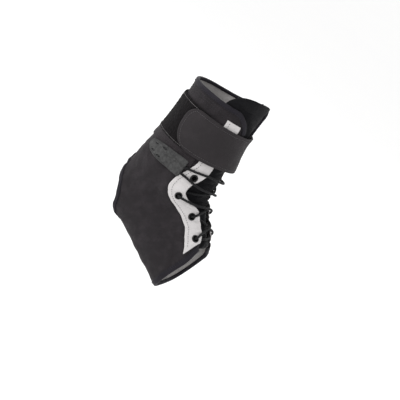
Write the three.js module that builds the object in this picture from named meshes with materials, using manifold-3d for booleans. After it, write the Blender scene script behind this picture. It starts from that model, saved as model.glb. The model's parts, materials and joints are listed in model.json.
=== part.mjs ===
// Lace-up ankle brace for a right foot, held as it is worn.
// Millimetres. +Z runs up the leg, +X towards the toes, +Y towards the inner (medial) side.
// The origin is the centre of the ankle, inside the brace.
import * as THREE from 'three';
import { mergeVertices } from 'three/addons/utils/BufferGeometryUtils.js';
import Module from 'manifold-3d';

const wasm = await Module();
wasm.setup();

// Leg and foot that the brace is shaped to
const RIM_HEIGHT = 122;
const LEG_DEPTH = 84;
const LEG_WIDTH = 78;
const FOOT_REACH = 80;
const FOOT_DROP = 92;
const FOOT_WIDTH = 81;

// Sheet and pad thicknesses
const QUARTER_WALL = 2;
const EYESTAY_WALL = 1;
const BINDING_WALL = 1;
const TONGUE_EDGE = 1.2;
const TONGUE_PAD = 3;
const BAND_WALL = 2.8;
const LANDING_WALL = 1.5;
const STRAP_WALL = 2;
const TAB_WALL = 2.5;
const SEAT_GAP = 0.4;
const RAMP_GAP = 0.3;

// Widths and heights of the strips
const BAND_BOTTOM = 54;
const BAND_WIDTH = 48;
const LANDING_WIDTH = 12.5;
const STRAP_FLARE = 4.5;
const STRAP_LIFT = 4;
const STRAP_TOP_CORNER = 16;
const STRAP_BOTTOM_CORNER = 26;
const RIM_BINDING = 4.5;
const HEEL_BINDING = 4;
const TOE_BINDING = 5;
const TAB_LENGTH = 45;
const TAB_WIDTH = 19.5;
const TAB_HEIGHT = 36.8;
const TAB_DROP = 2.5;

// Lace and eyelets
const LACE_DIAMETER = 2.9;
const LACE_PLAY = 0.3;
const EYELET_DIAMETER = 9;
const EYELET_BORE = 5.8;
const EYELET_RIM = 0.8;
const EYELET_BARREL_WALL = 0.6;

// Sections across the leg: lengths are shares of the leg's depth, rim height and width
const LEG_SECTIONS = [
  { front: 0.470, frontUp: 1.016, rear: -0.504, rearUp: 1.000, half: 0.500, taper: 0.00, flat: 0 },
  { front: 0.464, frontUp: 0.820, rear: -0.504, rearUp: 0.820, half: 0.494, taper: 0.02, flat: 0 },
  { front: 0.470, frontUp: 0.574, rear: -0.506, rearUp: 0.574, half: 0.474, taper: 0.04, flat: 0 },
  { front: 0.488, frontUp: 0.369, rear: -0.548, rearUp: 0.352, half: 0.462, taper: 0.05, flat: 0 },
  { front: 0.506, frontUp: 0.221, rear: -0.590, rearUp: 0.164, half: 0.462, taper: 0.05, flat: 0 },
];

// Sections across the foot: lengths are shares of the foot's reach, drop and width
const FOOT_SECTIONS = [
  { front: 0.556, frontUp: 0.152, rear: -0.660, rearUp: -0.054, half: 0.451, taper: 0.04, flat: 0.00 },
  { front: 0.619, frontUp: 0.054, rear: -0.750, rearUp: -0.370, half: 0.432, taper: 0.05, flat: 0.10 },
  { front: 0.694, frontUp: -0.043, rear: -0.550, rearUp: -0.598, half: 0.420, taper: 0.10, flat: 0.25 },
  { front: 0.769, frontUp: -0.130, rear: -0.216, rearUp: -0.665, half: 0.432, taper: 0.14, flat: 0.35 },
  { front: 0.844, frontUp: -0.207, rear: 0.108, rearUp: -0.775, half: 0.457, taper: 0.16, flat: 0.40 },
  { front: 0.919, frontUp: -0.272, rear: 0.440, rearUp: -0.893, half: 0.481, taper: 0.18, flat: 0.40 },
  { front: 1.022, frontUp: -0.355, rear: 0.785, rearUp: -1.018, half: 0.500, taper: 0.18, flat: 0.35 },
];

// Front of each quarter, in degrees from the middle of the front at each station
const LATERAL_FRONT = [
  { station: 0.00, outer: 61, inner: 40, edge: 49 },
  { station: 0.15, outer: 60, inner: 39, edge: 40 },
  { station: 0.45, outer: 60, inner: 38, edge: 28 },
  { station: 0.83, outer: 59, inner: 35, edge: 20 },
  { station: 2.00, outer: 59, inner: 35, edge: 23 },
  { station: 2.67, outer: 60, inner: 36, edge: 34 },
  { station: 3.10, outer: 64, inner: 39, edge: 38 },
  { station: 3.60, outer: 69, inner: 45, edge: 44 },
  { station: 4.10, outer: 73, inner: 51, edge: 50 },
  { station: 4.60, outer: 74, inner: 52, edge: 51 },
  { station: 5.10, outer: 70, inner: 45, edge: 44 },
  { station: 5.60, outer: 62, inner: 33, edge: 32 },
  { station: 6.25, outer: 53, inner: 25, edge: 24 },
  { station: 7.00, outer: 48, inner: 23, edge: 22 },
  { station: 8.00, outer: 48, inner: 23, edge: 22 },
  { station: 9.00, outer: 52, inner: 24, edge: 23 },
  { station: 9.75, outer: 56, inner: 28, edge: 26 },
  { station: 10.20, outer: 60, inner: 36, edge: 30 },
  { station: 10.60, outer: 65, inner: 42, edge: 36 },
];
const MEDIAL_TOP = [
  { station: -0.58, outer: 60, inner: 40, edge: 36 },
  { station: -0.48, outer: 60, inner: 38, edge: 24 },
  { station: -0.30, outer: 60, inner: 36, edge: 16 },
  { station: 0.00, outer: 60, inner: 35, edge: 12 },
  { station: 0.83, outer: 59, inner: 34, edge: 11 },
];
const MEDIAL_FRONT = [...MEDIAL_TOP, ...LATERAL_FRONT.filter((row) => row.station > 0.83)];

// Edge of the open heel on both quarters, in degrees from the middle of the front
const HEEL_EDGE = [
  { station: 4.70, turn: 180 },
  { station: 4.85, turn: 169 },
  { station: 5.05, turn: 158 },
  { station: 5.35, turn: 147 },
  { station: 5.70, turn: 133 },
  { station: 6.00, turn: 126 },
  { station: 6.40, turn: 124 },
  { station: 6.75, turn: 127 },
  { station: 7.25, turn: 136 },
  { station: 7.60, turn: 147 },
  { station: 7.90, turn: 162 },
  { station: 8.10, turn: 180 },
];

// Toe edge of the quarters: the station where the cloth ends at each turn
const TOE_EDGE = [
  { turn: 24, station: 10.42 },
  { turn: 36, station: 10.62 },
  { turn: 50, station: 10.85 },
  { turn: 66, station: 11.00 },
  { turn: 180, station: 11.00 },
];

// Top edge of the medial quarter, which stands higher at the front
const MEDIAL_RIM = [
  { turn: 10, station: -0.58 },
  { turn: 40, station: -0.54 },
  { turn: 70, station: -0.28 },
  { turn: 100, station: -0.06 },
  { turn: 130, station: 0.00 },
  { turn: 180, station: 0.00 },
];

// Sides of the tongue, in degrees; negative is the outer (lateral) side
const TONGUE_SIDES = [
  { station: -0.84, left: -38, right: -12 },
  { station: -0.80, left: -48, right: -2 },
  { station: -0.70, left: -58, right: 9 },
  { station: -0.50, left: -67, right: 19 },
  { station: -0.20, left: -74, right: 26 },
  { station: 0.00, left: -76, right: 30 },
  { station: 1.00, left: -64, right: 36 },
  { station: 2.00, left: -61, right: 46 },
  { station: 3.00, left: -62, right: 60 },
  { station: 4.10, left: -69, right: 69 },
  { station: 5.00, left: -66, right: 66 },
  { station: 6.00, left: -52, right: 52 },
  { station: 7.00, left: -44, right: 44 },
  { station: 9.00, left: -47, right: 47 },
  { station: 10.40, left: -54, right: 54 },
];

// Centre of each eyelet, counted from the toes
const EYELETS = [
  { station: 9.33, turn: 37 },
  { station: 6.80, turn: 35 },
  { station: 5.08, turn: 57 },
  { station: 3.50, turn: 53 },
];

// Shape of the wearer: a fan of sections from the rim, round the ankle, to the toe edge
const sections = [
  ...LEG_SECTIONS.map((row) => scaled(row, LEG_DEPTH, RIM_HEIGHT, LEG_WIDTH)),
  ...FOOT_SECTIONS.map((row) => scaled(row, FOOT_REACH, FOOT_DROP, FOOT_WIDTH)),
];

function scaled(row, depth, height, width) {
  const { front, frontUp, rear, rearUp, half, taper, flat } = row;
  return [front * depth, frontUp * height, rear * depth, rearUp * height, half * width, taper, flat];
}

function smooth(low, high, value) {
  const t = THREE.MathUtils.clamp((value - low) / (high - low), 0, 1);
  return t * t * (3 - 2 * t);
}

function cubic(a, b, c, d, t) {
  return 0.5 * (2 * b + (c - a) * t + (2 * a - 5 * b + 4 * c - d) * t * t
    + (3 * b - a - 3 * c + d) * t * t * t);
}

function sectionAt(station) {
  const last = sections.length - 1;
  const index = THREE.MathUtils.clamp(Math.floor(station), 0, last - 1);
  const t = station - index;
  const next = sections[index + 1];
  const here = sections[index];
  const before = sections[index - 1] ?? here.map((value, k) => 2 * value - next[k]);
  const after = sections[index + 2] ?? next.map((value, k) => 2 * value - here[k]);
  if (t < 0) return here.map((value, k) => value + (next[k] - value) * t);
  return here.map((value, k) => cubic(before[k], value, next[k], after[k], t));
}

// Reads one column of a table with a smooth curve through its rows
function read(table, key, column, value) {
  const last = table.length - 1;
  if (value <= table[0][key]) return table[0][column];
  if (value >= table[last][key]) return table[last][column];
  const index = table.findIndex((row) => row[key] > value) - 1;
  const here = table[index];
  const next = table[index + 1];
  const t = (value - here[key]) / (next[key] - here[key]);
  const slope = (a, b) => (b[column] - a[column]) / (b[key] - a[key]);
  const middle = slope(here, next);
  const steady = (row, other) => {
    if (!row) return middle;
    const side = slope(...other);
    return side * middle <= 0 ? 0 : 2 * side * middle / (side + middle);
  };
  const span = next[key] - here[key];
  const start = steady(table[index - 1], [table[index - 1], here].filter(Boolean)) * span;
  const end = steady(table[index + 2], [next, table[index + 2]].filter(Boolean)) * span;
  const t2 = t * t;
  const t3 = t2 * t;
  return (2 * t3 - 3 * t2 + 1) * here[column] + (t3 - 2 * t2 + t) * start
    + (3 * t2 - 2 * t3) * next[column] + (t3 - t2) * end;
}

function skin(station, turn) {
  const [front, frontUp, rear, rearUp, half, taper, flat] = sectionAt(station);
  const angle = THREE.MathUtils.degToRad(turn);
  const along = Math.cos(angle);
  const sole = along < 0 ? 1 + flat * (1 - along * along) : 1;
  return new THREE.Vector3(
    (front + rear) / 2 + (front - rear) / 2 * along * sole,
    half * Math.sin(angle) * (1 - taper * along),
    (frontUp + rearUp) / 2 + (frontUp - rearUp) / 2 * along * sole,
  );
}

function directions(station, turn) {
  const step = 0.01;
  const down = skin(station + step, turn).sub(skin(station - step, turn)).divideScalar(2 * step);
  const around = skin(station, turn + step).sub(skin(station, turn - step)).divideScalar(2 * step);
  const out = new THREE.Vector3().crossVectors(down, around).normalize();
  return { down, around, out };
}

function onForm(station, turn, offset) {
  return skin(station, turn).addScaledVector(directions(station, turn).out, offset);
}

// Station on the leg that lies at a height above the ankle
function stationAt(height, turn) {
  let low = -1.5;
  let high = 5;
  for (let pass = 0; pass < 30; pass++) {
    const middle = (low + high) / 2;
    if (skin(middle, turn).z > height) low = middle;
    else high = middle;
  }
  return (low + high) / 2;
}

// Offsets of the layers from the skin
const LACE_ROOM = LACE_DIAMETER + LACE_PLAY;

function tongueSide(station, turn) {
  return turn < 0 ? -read(TONGUE_SIDES, 'station', 'left', station)
    : read(TONGUE_SIDES, 'station', 'right', station);
}

// The quarters rise over the tongue, and higher still where the lace runs between them
function quarterSeat(station, turn) {
  const side = tongueSide(Math.max(0, station), turn);
  const over = 1 - smooth(side + 6, side + 24, Math.abs(turn));
  const laced = smooth(2.2, 3.25, station) * (1 - smooth(9.6, 10.8, station));
  return SEAT_GAP + over * (TONGUE_EDGE + SEAT_GAP + LACE_ROOM * laced);
}

const quarterTop = (station, turn) => quarterSeat(station, turn) + QUARTER_WALL;
const eyestaySeat = (station, turn) => quarterTop(station, turn) + SEAT_GAP;
const eyestayTop = (station, turn) => eyestaySeat(station, turn) + EYESTAY_WALL;

// A panel is a box whose faces are laid on the form: u across, v along, w from inside to outside
function panel(across, along, place) {
  const geometry = new THREE.BoxGeometry(1, 1, 1, across, along, 1);
  const position = geometry.attributes.position;
  for (let k = 0; k < position.count; k++) {
    const spot = place(position.getX(k) + 0.5, position.getY(k) + 0.5, position.getZ(k) + 0.5);
    position.setXYZ(k, spot.x, spot.y, spot.z);
  }
  return closed(geometry);
}

// Leaves only merged positions, with the faces pointing out
function closed(geometry) {
  geometry.deleteAttribute('normal');
  geometry.deleteAttribute('uv');
  const merged = mergeVertices(geometry, 1e-5);
  if (volume(merged) < 0) {
    const index = merged.index.array;
    for (let k = 0; k < index.length; k += 3) [index[k], index[k + 1]] = [index[k + 1], index[k]];
  }
  merged.computeVertexNormals();
  return merged;
}

function volume(geometry) {
  const [a, b, c] = [new THREE.Vector3(), new THREE.Vector3(), new THREE.Vector3()];
  const { position } = geometry.attributes;
  const index = geometry.index.array;
  let total = 0;
  for (let k = 0; k < index.length; k += 3) {
    a.fromBufferAttribute(position, index[k]);
    b.fromBufferAttribute(position, index[k + 1]);
    c.fromBufferAttribute(position, index[k + 2]);
    total += a.dot(b.cross(c)) / 6;
  }
  return total;
}

function toManifold(geometry) {
  return new wasm.Manifold(new wasm.Mesh({
    numProp: 3,
    vertProperties: new Float32Array(geometry.attributes.position.array),
    triVerts: new Uint32Array(geometry.index.array),
  }));
}

function fromManifold(solid) {
  const mesh = solid.getMesh();
  const geometry = new THREE.BufferGeometry();
  geometry.setAttribute('position', new THREE.BufferAttribute(mesh.vertProperties, 3));
  geometry.setIndex(new THREE.BufferAttribute(mesh.triVerts, 1));
  geometry.computeVertexNormals();
  return geometry;
}

// Local frame of an eyelet: its centre on the quarter and the way out of the cloth
function eyeletFrame(side, eyelet) {
  const turn = side.sign * eyelet.turn;
  const { out } = directions(eyelet.station, turn);
  const rotation = new THREE.Quaternion().setFromUnitVectors(new THREE.Vector3(0, 1, 0), out);
  return { turn, out, rotation };
}

function punchEyelets(geometry, side) {
  const radius = EYELET_BORE / 2 + EYELET_BARREL_WALL + SEAT_GAP;
  let solid = toManifold(geometry);
  for (const eyelet of EYELETS) {
    const { turn, rotation } = eyeletFrame(side, eyelet);
    const centre = onForm(eyelet.station, turn, eyestaySeat(eyelet.station, turn));
    const drill = closed(new THREE.CylinderGeometry(radius, radius, 12, 12));
    drill.applyQuaternion(rotation).translate(centre.x, centre.y, centre.z);
    solid = solid.subtract(toManifold(drill));
  }
  return fromManifold(solid);
}

const SEAM = 0.25;
const REAR = 180 - SEAM;
const LATERAL = { name: 'lateral', sign: -1, front: LATERAL_FRONT, rim: [{ turn: 0, station: 0 }] };
const MEDIAL = { name: 'medial', sign: 1, front: MEDIAL_FRONT, rim: MEDIAL_RIM };
const SIDES = [LATERAL, MEDIAL];

const rimStation = (side, turn) => read(side.rim, 'turn', 'station', turn);
const toeStation = (turn) => read(TOE_EDGE, 'turn', 'station', turn);
const rearTurn = (station) => {
  const open = station > HEEL_EDGE[0].station && station < HEEL_EDGE.at(-1).station;
  return open ? Math.min(REAR, read(HEEL_EDGE, 'station', 'turn', station)) : REAR;
};

// Station and turn of a point that is a share across and along a panel with curved edges
function spread(u, v, turns, stations) {
  let station = THREE.MathUtils.lerp(...stations(90), v);
  let turn = 90;
  for (let pass = 0; pass < 12; pass++) {
    turn = THREE.MathUtils.lerp(...turns(station), u);
    station = THREE.MathUtils.lerp(...stations(turn), v);
  }
  return { station, turn };
}

function quarter(side) {
  const across = 14;
  const along = 26;
  const turns = (station) => [read(side.front, 'station', 'edge', station), rearTurn(station)];
  const stations = (turn) => [rimStation(side, turn), toeStation(turn)];
  const shape = panel(across, along, (u, v, w) => {
    const { station, turn } = spread(u ** 1.25, v ** 1.3, turns, stations);
    const inner = quarterSeat(station, side.sign * turn);
    return onForm(station, side.sign * turn, inner + QUARTER_WALL * w);
  });
  return punchEyelets(shape, side);
}

// Ends of the eyestay: below the rim binding and short of the toe binding
const EYESTAY_TOP = 0.6;
const EYESTAY_TOE_SHARE = 0.62;

function eyestay(side) {
  const across = 3;
  const along = 26;
  const turns = (station) => [read(side.front, 'station', 'inner', station),
    read(side.front, 'station', 'outer', station)];
  const stations = (turn) => [EYESTAY_TOP, toeStation(turn) - EYESTAY_TOE_SHARE];
  const shape = panel(across, along, (u, v, w) => {
    const { station, turn } = spread(u, v, turns, stations);
    const inner = eyestaySeat(station, side.sign * turn);
    return onForm(station, side.sign * turn, inner + EYESTAY_WALL * w);
  });
  return punchEyelets(shape, side);
}

function eyeletRing() {
  const bore = EYELET_BORE / 2;
  const barrel = bore + EYELET_BARREL_WALL;
  const depth = EYESTAY_WALL + SEAT_GAP + QUARTER_WALL;
  const rim = EYELET_DIAMETER / 2;
  const profile = [
    [bore, -depth], [barrel, -depth], [barrel, SEAT_GAP], [rim, SEAT_GAP],
    [bore, SEAT_GAP + EYELET_RIM], [bore, -depth],
  ].map(([radius, height]) => new THREE.Vector2(radius, height));
  return closed(new THREE.LatheGeometry(profile, 10));
}

// How far a spot of the tongue, in degrees, lies clear of the quarters that cover its sides
function exposed(station, turn) {
  const side = turn < 0 ? LATERAL : MEDIAL;
  const pastEdge = read(side.front, 'station', 'edge', station) - Math.abs(turn);
  const aboveRim = smooth(0.14, 0.4, rimStation(side, Math.abs(turn)) - station);
  return Math.max(pastEdge, aboveRim * (tongueSide(station, turn) - Math.abs(turn)));
}

// Padded tongue: thin at its sides, where the quarters lie over it, and full in the middle
function tongue() {
  const first = TONGUE_SIDES[0].station;
  const last = TONGUE_SIDES.at(-1).station;
  return panel(8, 24, (u, v, w) => {
    const station = first + (last - first) * v ** 1.35;
    const left = read(TONGUE_SIDES, 'station', 'left', station);
    const right = read(TONGUE_SIDES, 'station', 'right', station);
    const turn = THREE.MathUtils.lerp(left, right, u);
    const pad = THREE.MathUtils.lerp(TONGUE_EDGE, TONGUE_PAD, smooth(7, 19, exposed(station, turn)));
    return onForm(station, turn, SEAT_GAP / 2 + pad * w);
  });
}

// A ribbon follows an edge given by stations and turns, and lies on the quarter
function ribbon(edge, width, steps, inward) {
  const curve = new THREE.CatmullRomCurve3(edge.map(([station, turn]) => (
    new THREE.Vector3(station, turn, 0))));
  return panel(1, steps, (u, v, w) => {
    const step = 0.002;
    const here = curve.getPoint(v);
    const before = curve.getPoint(Math.max(0, v - step));
    const after = curve.getPoint(Math.min(1, v + step));
    const { down, around, out } = directions(here.x, here.y);
    const run = skin(after.x, after.y).sub(skin(before.x, before.y)).normalize();
    const aside = new THREE.Vector3().crossVectors(out, run).multiplyScalar(inward * width * u);
    const gram = [down.dot(down), down.dot(around), around.dot(around)];
    const [p, q] = [aside.dot(down), aside.dot(around)];
    const size = gram[0] * gram[2] - gram[1] * gram[1];
    const station = here.x + (p * gram[2] - q * gram[1]) / size;
    const turn = here.y + (q * gram[0] - p * gram[1]) / size;
    return onForm(station, turn, quarterTop(station, turn) + SEAT_GAP + BINDING_WALL * w);
  });
}

function rimBinding(side) {
  const edge = [];
  for (let turn = REAR; turn > 62; turn -= 13) edge.push([rimStation(side, turn), turn]);
  const frontRows = side.front.filter((row) => row.station <= 0.83);
  for (const row of frontRows) edge.push([row.station, row.edge]);
  const signed = edge.map(([station, turn]) => [station, side.sign * turn]);
  return ribbon(signed, RIM_BINDING, 20, side.sign);
}

function heelBinding(side) {
  const edge = HEEL_EDGE.map((row) => [row.station, side.sign * Math.min(row.turn, REAR)]);
  return ribbon(edge, HEEL_BINDING, 18, -side.sign);
}

function toeBinding(side) {
  const edge = [];
  for (let turn = 31; turn < REAR; turn += 10.6) edge.push([toeStation(turn), side.sign * turn]);
  edge.push([toeStation(REAR), side.sign * REAR]);
  return ribbon(edge, TOE_BINDING, 18, side.sign);
}

// A band at constant height round the leg, between two turns
function legBand(bottom, width, from, to, wall, along, seat) {
  return panel(28, along, (u, v, w) => {
    const turn = THREE.MathUtils.lerp(from, to, u);
    const station = stationAt(bottom + width * (1 - v), turn);
    return onForm(station, turn, seat(station, turn) + wall * w);
  });
}

const wrapped = (turn) => (turn < -180 ? turn + 360 : turn);
const bandSeat = (station, turn) => quarterTop(station, wrapped(turn)) + SEAT_GAP;
const landingSeat = (station, turn) => bandSeat(station, turn) + RAMP_GAP / 2;

const BAND_START = -84;
const BAND_END = -285;
const elasticBand = () => (
  legBand(BAND_BOTTOM, BAND_WIDTH, BAND_START, BAND_END, BAND_WALL, 3, bandSeat));

const LANDING_START = -67;
const LANDING_END = -292;
const landingBottom = BAND_BOTTOM - SEAT_GAP - LANDING_WIDTH;
const landingStrip = () => (
  legBand(landingBottom, LANDING_WIDTH, LANDING_START, LANDING_END, LANDING_WALL, 1, landingSeat));

// The strap starts on the medial end of the band, crosses the front and ends in a rounded end
const STRAP_START = 92;
const STRAP_END = -113;
const STRAP_SEAT = SEAT_GAP * 3 + QUARTER_WALL + BAND_WALL + RAMP_GAP;

// How far a rounded corner of this radius draws an end back, at a distance from the long edge
function cornerInset(radius, fromEdge) {
  const reach = Math.max(0, radius - fromEdge);
  return radius - Math.sqrt(radius * radius - reach * reach);
}

function strap() {
  const round = THREE.MathUtils.radToDeg(1 / (LEG_WIDTH / 2 + STRAP_SEAT));
  return panel(20, 8, (u, share, w) => {
    const v = (1 - Math.cos(Math.PI * share)) / 2;
    const inset = cornerInset(STRAP_TOP_CORNER, BAND_WIDTH * v)
      + cornerInset(STRAP_BOTTOM_CORNER, BAND_WIDTH * (1 - v));
    const turn = THREE.MathUtils.lerp(STRAP_START, STRAP_END + inset * round, u);
    const forward = 1 - smooth(15, 80, Math.abs(turn));
    const height = BAND_BOTTOM + BAND_WIDTH * (1 - v) + STRAP_LIFT * forward * v;
    const flare = STRAP_FLARE * forward * smooth(0.2, 1, v);
    return onForm(stationAt(height, turn), turn, STRAP_SEAT + flare + STRAP_WALL * w);
  });
}

// Hook tab that the lace ends run into: square where they enter, tapered to a round end
const TAB_START = -72.5;
const TAB_TAPER = 3.2;

function tabSeat(height, station, turn) {
  const onLanding = smooth(landingBottom - 5, landingBottom, height);
  return bandSeat(station, turn) + RAMP_GAP + (LANDING_WALL + SEAT_GAP) * onLanding;
}

function laceTab() {
  return panel(12, 4, (u, v, w) => {
    const half = TAB_WIDTH / 2 * Math.sqrt(1 - (0.985 * u) ** TAB_TAPER);
    const turn = TAB_START - THREE.MathUtils.radToDeg(TAB_LENGTH * u / (LEG_WIDTH / 2));
    const height = TAB_HEIGHT - TAB_DROP * u + (1 - 2 * v) * half;
    const station = stationAt(height, turn);
    return onForm(station, turn, tabSeat(height, station, turn) + TAB_WALL * w);
  });
}

// Heights of the lace's middle above the skin
const laceRadius = LACE_DIAMETER / 2;
const LEVELS = {
  under: (station, turn) => (SEAT_GAP / 2 + TONGUE_EDGE + quarterSeat(station, turn)) / 2,
  over: (station, turn) => eyestayTop(station, turn) + SEAT_GAP + RAMP_GAP + laceRadius,
  low: () => SEAT_GAP * 2 + TONGUE_PAD + RAMP_GAP + laceRadius,
  high: () => SEAT_GAP * 3 + TONGUE_PAD + RAMP_GAP + LACE_DIAMETER + laceRadius,
  tab: (station, turn) => tabSeat(skin(station, turn).z, station, turn) + TAB_WALL * 0.75,
};

// Route of each half of the lace, from the middle of the toe bar to the tab.
// A row is a spot at a level, or the number of the eyelet that it comes up or goes down through.
const LACE_A = [
  { station: 9.62, turn: -0.4, level: 'low' },
  { station: 9.54, turn: -14, level: 'low' },
  { station: 9.44, turn: -24, level: 'under' },
  { side: LATERAL, eyelet: 1, way: 'up' },
  { station: 8.80, turn: -25, level: 'over' },
  { station: 7.95, turn: 0, level: 'high' },
  { station: 7.35, turn: 14, level: 'low' },
  { station: 7.05, turn: 22, level: 'under' },
  { side: MEDIAL, eyelet: 2, way: 'up' },
  { station: 6.50, turn: 25, level: 'over' },
  { station: 5.95, turn: 0, level: 'high' },
  { station: 5.45, turn: -34, level: 'over' },
  { side: LATERAL, eyelet: 3, way: 'down' },
  { station: 4.75, turn: -50, level: 'under' },
  { station: 4.45, turn: -30, level: 'low' },
  { station: 4.10, turn: 0, level: 'low' },
  { station: 3.85, turn: 30, level: 'low' },
  { station: 3.68, turn: 44, level: 'under' },
  { side: MEDIAL, eyelet: 4, way: 'up' },
  { station: 3.38, turn: 42, level: 'over' },
  { station: 3.24, turn: 14, level: 'high' },
  { station: 3.10, turn: -12, level: 'high' },
  { station: 3.02, turn: -36, level: 'over' },
  { station: 3.12, turn: -56, level: 'over' },
  { station: 3.22, turn: -71.4, level: 'tab' },
];
const LACE_B = [
  { station: 9.62, turn: 0.4, level: 'low' },
  { station: 9.54, turn: 14, level: 'low' },
  { station: 9.44, turn: 24, level: 'under' },
  { side: MEDIAL, eyelet: 1, way: 'up' },
  { station: 8.80, turn: 25, level: 'over' },
  { station: 7.95, turn: 0, level: 'low' },
  { station: 7.35, turn: -14, level: 'low' },
  { station: 7.05, turn: -22, level: 'under' },
  { side: LATERAL, eyelet: 2, way: 'up' },
  { station: 6.50, turn: -25, level: 'over' },
  { station: 5.95, turn: 0, level: 'low' },
  { station: 5.65, turn: 20, level: 'low' },
  { station: 5.38, turn: 38, level: 'under' },
  { side: MEDIAL, eyelet: 3, way: 'up' },
  { station: 4.72, turn: 47, level: 'over' },
  { station: 4.40, turn: 22, level: 'high' },
  { station: 4.10, turn: 0, level: 'high' },
  { station: 3.97, turn: -24, level: 'high' },
  { station: 3.92, turn: -38, level: 'over' },
  { station: 3.82, turn: -50, level: 'over' },
  { station: 3.70, turn: -61, level: 'over' },
  { station: 3.64, turn: -69.8, level: 'over' },
  { station: 3.63, turn: -71.45, level: 'tab' },
];

const isSpot = (row) => row !== undefined && 'level' in row;
const laceSpot = ({ station, turn, level }) => (
  onForm(station, turn, LEVELS[level](station, turn)));

// Points of the lace through one eyelet, along the cloth towards its neighbours on the route
function throughEyelet(row, before, after) {
  const { station } = EYELETS[row.eyelet - 1];
  const { turn, out } = eyeletFrame(row.side, EYELETS[row.eyelet - 1]);
  const base = skin(station, turn);
  const ways = [before, after].map((other) => (
    laceSpot(other).sub(base).projectOnPlane(out).normalize()));
  if (row.way === 'down') ways.reverse();
  const [below, above] = ways;
  const deep = LEVELS.under(station, turn);
  const rim = eyestayTop(station, turn) + SEAT_GAP + EYELET_RIM + laceRadius;
  const at = (way, aside, height) => (
    base.clone().addScaledVector(way, aside).addScaledVector(out, height));
  const points = [
    at(below, 4.2, deep), at(below, 1, deep + 0.5), at(below, 0, deep + 2.2),
    at(above, 0, rim - 2), at(above, 1, rim + 0.6), at(above, 3.6, rim + 0.7),
  ];
  return row.way === 'down' ? points.reverse() : points;
}

function lace(route) {
  const points = route.flatMap((row, k) => (
    isSpot(row) ? [laceSpot(row)] : throughEyelet(row, route[k - 1], route[k + 1])));
  const path = new THREE.CatmullRomCurve3(points, false, 'centripetal');
  const corners = Array.from({ length: 8 }, (_, k) => {
    const angle = 2 * Math.PI * (k + 0.5) / 8;
    return new THREE.Vector2(laceRadius * Math.cos(angle), laceRadius * Math.sin(angle));
  });
  const section = new THREE.Shape(corners);
  return closed(new THREE.ExtrudeGeometry(section, { steps: 72, extrudePath: path }));
}

// Materials
const nylon = { color: 0x343032, roughness: 0.85, metalness: 0 };
const MATERIALS = {
  quarter: nylon,
  binding: { color: 0x231e2d, roughness: 0.7, metalness: 0 },
  eyestay: { color: 0xc8c3c3, roughness: 0.6, metalness: 0 },
  tongue: { color: 0x19191e, roughness: 0.8, metalness: 0 },
  plush: { color: 0x1c1b1d, roughness: 1, metalness: 0 },
  strap: { color: 0x444244, roughness: 0.75, metalness: 0 },
  tab: { color: 0x555555, roughness: 0.8, metalness: 0 },
  lace: { color: 0x0c0c0e, roughness: 0.7, metalness: 0 },
  eyelet: { color: 0x0a0a0b, roughness: 0.35, metalness: 0.2 },
};

const brace = new THREE.Group();

function add(name, geometry, material) {
  const mesh = new THREE.Mesh(geometry, new THREE.MeshStandardMaterial(MATERIALS[material]));
  mesh.name = name;
  brace.add(mesh);
  return mesh;
}

for (const side of SIDES) {
  add(`${side.name}_quarter`, quarter(side), 'quarter');
  add(`${side.name}_eyestay`, eyestay(side), 'eyestay');
  add(`${side.name}_rim_binding`, rimBinding(side), 'binding');
  add(`${side.name}_heel_binding`, heelBinding(side), 'binding');
  add(`${side.name}_toe_binding`, toeBinding(side), 'binding');
  EYELETS.forEach((eyelet, number) => {
    const { turn, rotation } = eyeletFrame(side, eyelet);
    const ring = add(`${side.name}_eyelet_${number + 1}`, eyeletRing(), 'eyelet');
    ring.position.copy(onForm(eyelet.station, turn, eyestayTop(eyelet.station, turn)));
    ring.quaternion.copy(rotation);
  });
}
add('tongue', tongue(), 'tongue');
add('elastic_band', elasticBand(), 'plush');
add('landing_strip', landingStrip(), 'plush');
add('wrap_strap', strap(), 'strap');
add('lace_tab', laceTab(), 'tab');
add('lace_a', lace(LACE_A), 'lace');
add('lace_b', lace(LACE_B), 'lace');

export default brace;
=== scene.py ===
# Visual model of a lace-up ankle brace for a right foot, held as it is worn.
# Lengths are millimetres until a mesh is made, which is in metres.
# A station runs from 0 at the rim, round the ankle, to 11 at the toe edge. A turn is in degrees
# round the leg or foot: 0 is the front, negative is the outer side and 180 is the rear or sole.
import json
import math

import bpy
import numpy as np
from mathutils import Matrix, Vector, noise


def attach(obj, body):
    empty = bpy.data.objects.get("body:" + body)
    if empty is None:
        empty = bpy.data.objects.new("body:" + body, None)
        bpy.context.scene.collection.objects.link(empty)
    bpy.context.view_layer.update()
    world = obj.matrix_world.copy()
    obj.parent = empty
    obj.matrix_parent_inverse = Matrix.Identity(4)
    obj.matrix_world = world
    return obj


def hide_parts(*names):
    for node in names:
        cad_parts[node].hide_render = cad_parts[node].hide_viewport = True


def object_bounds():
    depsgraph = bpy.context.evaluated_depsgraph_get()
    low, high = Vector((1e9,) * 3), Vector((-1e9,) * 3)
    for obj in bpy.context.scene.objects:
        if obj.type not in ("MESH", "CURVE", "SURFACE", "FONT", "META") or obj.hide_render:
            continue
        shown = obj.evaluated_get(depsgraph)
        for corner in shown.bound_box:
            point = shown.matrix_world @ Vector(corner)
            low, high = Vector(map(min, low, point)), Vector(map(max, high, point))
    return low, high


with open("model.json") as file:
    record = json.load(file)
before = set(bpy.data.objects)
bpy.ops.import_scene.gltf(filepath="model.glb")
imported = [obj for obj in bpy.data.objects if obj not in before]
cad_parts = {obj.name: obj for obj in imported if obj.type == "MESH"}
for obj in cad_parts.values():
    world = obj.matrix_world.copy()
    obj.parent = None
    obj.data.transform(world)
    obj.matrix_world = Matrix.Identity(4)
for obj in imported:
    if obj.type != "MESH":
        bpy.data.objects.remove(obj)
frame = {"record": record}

CAD_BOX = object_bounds()
MM = 0.001

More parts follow.
